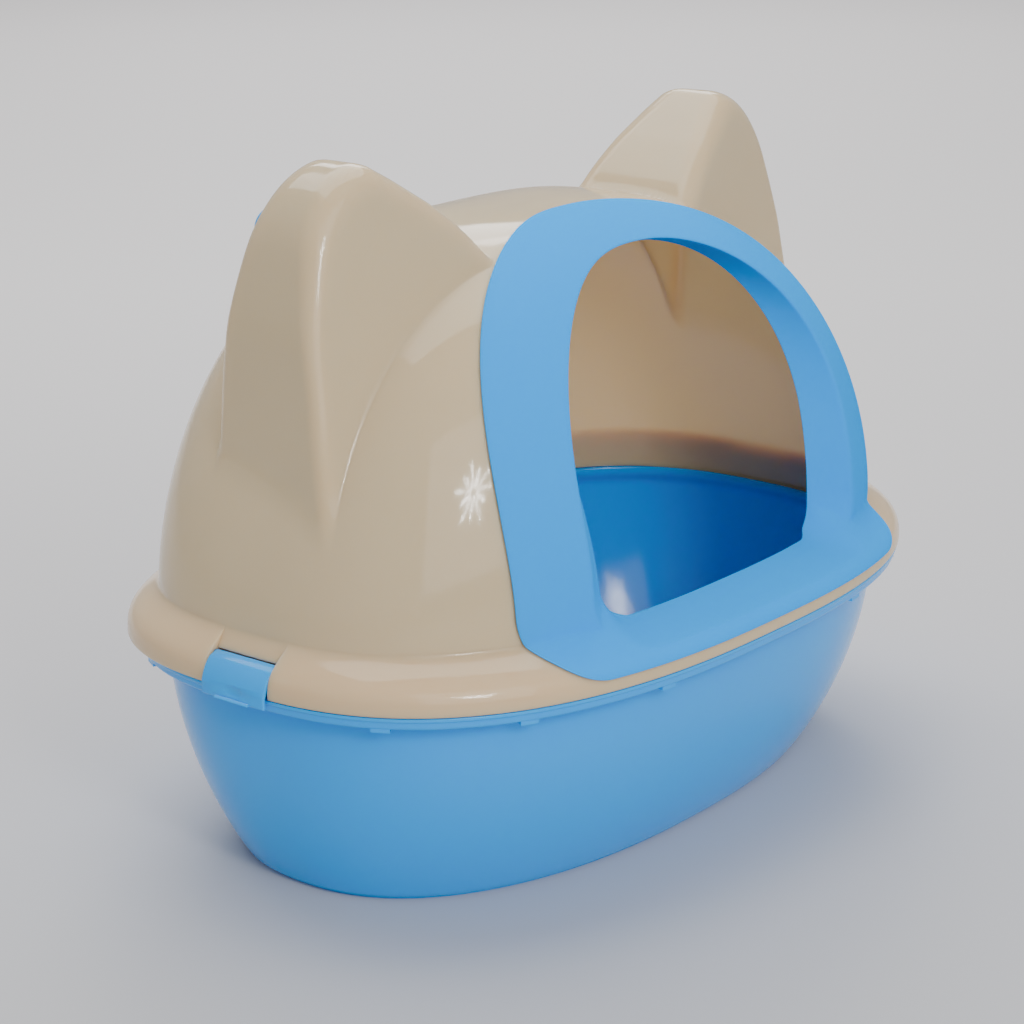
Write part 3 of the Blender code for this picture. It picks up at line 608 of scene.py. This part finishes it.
def make_clip(side, body, material):
    def place(x, z, y):
        return side * x, y, z

    clip = prism(body + "_shell", clip_outline(), -CLIP_HALF_WIDTH, CLIP_HALF_WIDTH, place)
    bevel = clip.modifiers.new("edges", "BEVEL")
    bevel.width = CLIP_BEVEL
    bevel.segments = CLIP_BEVEL_STEPS
    bevel.limit_method = "ANGLE"
    bevel.angle_limit = math.radians(CLIP_BEVEL_ANGLE)
    apply_modifier(clip)
    foot = clip_outer(CLIP_BOTTOM_Z)
    lip = [(foot + out, CLIP_BOTTOM_Z + up) for out, up in CLIP_LIP]
    combine(clip, "UNION", prism("lip", lip, -CLIP_LIP_HALF_WIDTH, CLIP_LIP_HALF_WIDTH, place))
    combine(clip, "DIFFERENCE", ball((side * (foot + SCOOP_OUT), 0.0, SCOOP_Z), SCOOP_RADII))
    end = CLIP_HALF_WIDTH + CLIP_PIN_LENGTH
    pin_ends = [place(CLIP_PIVOT[0], CLIP_PIVOT[1], y) for y in (-end, end)]
    combine(clip, "UNION", cylinder("pin", *pin_ends, CLIP_PIN_RADIUS))
    return finish(clip, body, body, material)


def hook_seat():
    """Where the hook sits on the left ear's rear plane, and the direction out of it."""
    (nx, ny, nz), (px, py, pz) = EAR_REAR_HIGH
    y = py - (nx * (-HOOK_X - px) + nz * (HOOK_Z - pz)) / ny
    return Vector((HOOK_X, y, HOOK_Z)), Vector((-nx, ny, nz)).normalized()


def make_hook(material):
    seat, outward = hook_seat()
    turn = outward.to_track_quat("Z", "Y").to_matrix()
    angles = np.arange(HOOK_STEPS) * 2.0 * math.pi / HOOK_STEPS

    def place(radius, out, angle):
        return seat + turn @ Vector((radius * math.cos(angle), radius * math.sin(angle), out))

    rings = np.array([[place(radius, out, angle) for angle in angles] for radius, out in HOOK_PROFILE])
    hook = ring_body("scoop_hook_button", rounded(rings, 2, False), place(0.0, HOOK_ENDS[0], 0.0),
                     place(0.0, HOOK_ENDS[1], 0.0))
    return finish(hook, "hood", "scoop_hook", material)


# ---- materials ----
def plastic(name, color, roughness, sheen, glow):
    """Moulded plastic; glow is the weight, depth and colour of the light that spreads under its surface."""
    material = bpy.data.materials.new(name)
    material.use_nodes = True
    nodes, links = material.node_tree.nodes, material.node_tree.links
    shader = nodes["Principled BSDF"]
    shader.inputs["Specular IOR Level"].default_value = sheen
    shader.inputs["Subsurface Weight"].default_value = glow[0]
    shader.inputs["Subsurface Scale"].default_value = glow[1]
    shader.inputs["Subsurface Radius"].default_value = glow[2]
    coordinates = nodes.new("ShaderNodeTexCoord")

    def noise(scale, detail):
        node = nodes.new("ShaderNodeTexNoise")
        node.inputs["Scale"].default_value = scale
        node.inputs["Detail"].default_value = detail
        links.new(coordinates.outputs["Object"], node.inputs["Vector"])
        return node

    ramp = nodes.new("ShaderNodeValToRGB")
    for element, share in zip(ramp.color_ramp.elements, COLOR_SPREAD):
        element.color = (*[min(part * share, 1.0) for part in color], 1.0)
    links.new(noise(*COLOR_NOISE).outputs["Fac"], ramp.inputs["Fac"])
    links.new(ramp.outputs["Color"], shader.inputs["Base Color"])
    gloss = nodes.new("ShaderNodeMapRange")
    gloss.inputs["To Min"].default_value = roughness * GLOSS_SPREAD[0]
    gloss.inputs["To Max"].default_value = roughness * GLOSS_SPREAD[1]
    links.new(noise(*GLOSS_NOISE).outputs["Fac"], gloss.inputs["Value"])
    links.new(gloss.outputs["Result"], shader.inputs["Roughness"])
    bump = nodes.new("ShaderNodeBump")
    bump.inputs["Strength"].default_value = GRAIN_STRENGTH
    bump.inputs["Distance"].default_value = GRAIN_DEPTH
    links.new(noise(*GRAIN_NOISE).outputs["Fac"], bump.inputs["Height"])
    links.new(bump.outputs["Normal"], shader.inputs["Normal"])
    return material


# ---- stage, light and camera ----
def pale_floor():
    """A matt floor whose tone changes along one level direction: painted shade, darker in front and paler
    towards the back.
    """
    material = bpy.data.materials.new("pale_floor")
    material.use_nodes = True
    nodes, links = material.node_tree.nodes, material.node_tree.links
    shader = nodes["Principled BSDF"]
    shader.inputs["Roughness"].default_value = FLOOR_ROUGHNESS
    place = nodes.new("ShaderNodeMapping")
    place.inputs["Rotation"].default_value = (0.0, 0.0, math.radians(FLOOR_FADE_TURN))
    links.new(nodes.new("ShaderNodeTexCoord").outputs["Object"], place.inputs["Vector"])
    split = nodes.new("ShaderNodeSeparateXYZ")
    links.new(place.outputs["Vector"], split.inputs["Vector"])
    along = nodes.new("ShaderNodeMapRange")
    along.inputs["From Min"].default_value = FLOOR_FADE_SPAN[0]
    along.inputs["From Max"].default_value = FLOOR_FADE_SPAN[1]
    links.new(split.outputs["Y"], along.inputs["Value"])
    # painted shade: the ramp darkens the floor towards the front and pales it towards the back
    ramp = nodes.new("ShaderNodeValToRGB")
    for _ in FLOOR_PAINTED_SHADE_TONES[2:]:
        ramp.color_ramp.elements.new(0.5)
    for element, (position, tone) in zip(ramp.color_ramp.elements, FLOOR_PAINTED_SHADE_TONES):
        element.position = position
        element.color = (*tone, 1.0)
    links.new(along.outputs["Result"], ramp.inputs["Fac"])
    links.new(ramp.outputs["Color"], shader.inputs["Base Color"])
    return material


def make_stage():
    half = FLOOR_HALF_SIZE
    corners = [(-half, -half, 0), (half, -half, 0), (half, half, 0), (-half, half, 0)]
    floor = mesh_object("floor", corners, [(0, 1, 2, 3)])
    floor.data.materials.append(pale_floor())


def area_light(name, place, target, size, power):
    light = bpy.data.lights.new(name, "AREA")
    light.shape = "RECTANGLE"
    light.size, light.size_y = size
    light.energy = power
    obj = bpy.data.objects.new(name, light)
    bpy.context.scene.collection.objects.link(obj)
    obj.location = place
    obj.rotation_euler = (Vector(target) - Vector(place)).to_track_quat("-Z", "Y").to_euler()
    return obj


def umbrella_petal(index):
    """One narrow bright panel of the round umbrella; the gaps between the panels stay dark."""
    place, target = Vector(UMBRELLA_PLACE), Vector(UMBRELLA_TARGET)
    facing = (target - place).normalized()
    level = facing.cross(Vector((0.0, 0.0, 1.0))).normalized()
    angle = 2.0 * math.pi * index / UMBRELLA_PETALS
    radial = level * math.cos(angle) + facing.cross(level) * math.sin(angle)
    length = UMBRELLA_PETAL_LENGTHS[index % len(UMBRELLA_PETAL_LENGTHS)]
    obj = area_light("umbrella", place + radial * (UMBRELLA_HUB + 0.5 * length), target,
                     (length, UMBRELLA_PETAL_WIDTH), UMBRELLA_POWER / UMBRELLA_PETALS)
    obj.rotation_euler = Matrix((radial, radial.cross(facing), -facing)).transposed().to_euler()


def make_light():
    world = bpy.data.worlds.new("studio")
    bpy.context.scene.world = world
    world.use_nodes = True
    background = world.node_tree.nodes["Background"]
    background.inputs["Color"].default_value = (1.0, 1.0, 1.0, 1.0)
    background.inputs["Strength"].default_value = WORLD_STRENGTH
    for petal in range(UMBRELLA_PETALS):
        umbrella_petal(petal)
    area_light("umbrella_glow", (-1.10, -1.90, 1.30), UMBRELLA_TARGET, (2.0, 2.0), 24.0)
    area_light("backdrop", (2.9, 2.4, 2.6), (2.9, 2.4, 0.0), (2.0, 2.0), 70.0)
    area_light("overhead", (0.4, 0.8, 2.5), (0.0, 0.0, 0.2), (2.4, 2.4), 62.0)


def make_camera():
    turn, tilt, roll = [math.radians(angle) for angle in (CAMERA_TURN, CAMERA_TILT, CAMERA_ROLL)]
    forward = Vector((math.sin(turn) * math.cos(tilt), math.cos(turn) * math.cos(tilt), -math.sin(tilt)))
    right = Vector((math.cos(turn), -math.sin(turn), 0.0))
    up = right.cross(forward)
    level_right = right * math.cos(roll) + up * math.sin(roll)
    level_up = up * math.cos(roll) - right * math.sin(roll)
    data = bpy.data.cameras.new("camera")
    data.sensor_width = CAMERA_SENSOR
    data.lens = CAMERA_LENS
    data.clip_end = CAMERA_FAR
    camera = bpy.data.objects.new("camera", data)
    bpy.context.scene.collection.objects.link(camera)
    matrix = Matrix((level_right, level_up, -forward)).transposed().to_4x4()
    matrix.translation = Vector(CAMERA_PLACE)
    camera.matrix_world = matrix
    bpy.context.scene.camera = camera


cream = plastic("cream_plastic", (0.66, 0.49, 0.30), 0.08, 0.40, (0.85, 0.012, (1.0, 0.9, 0.8)))
blue = plastic("blue_plastic", (0.005, 0.37, 1.0), 0.12, 0.30, (0.4, 0.005, (0.3, 0.6, 1.0)))
satin_blue = plastic("satin_blue_plastic", (0.0, 0.345, 1.0), 0.45, 0.0, (0.2, 0.003, (0.3, 0.6, 1.0)))
make_tray(blue)
make_hood(cream)
make_frame(satin_blue)
make_clip(-1, "clip_left", blue)
make_clip(1, "clip_right", blue)
make_hook(blue)
make_stage()
make_light()
make_camera()
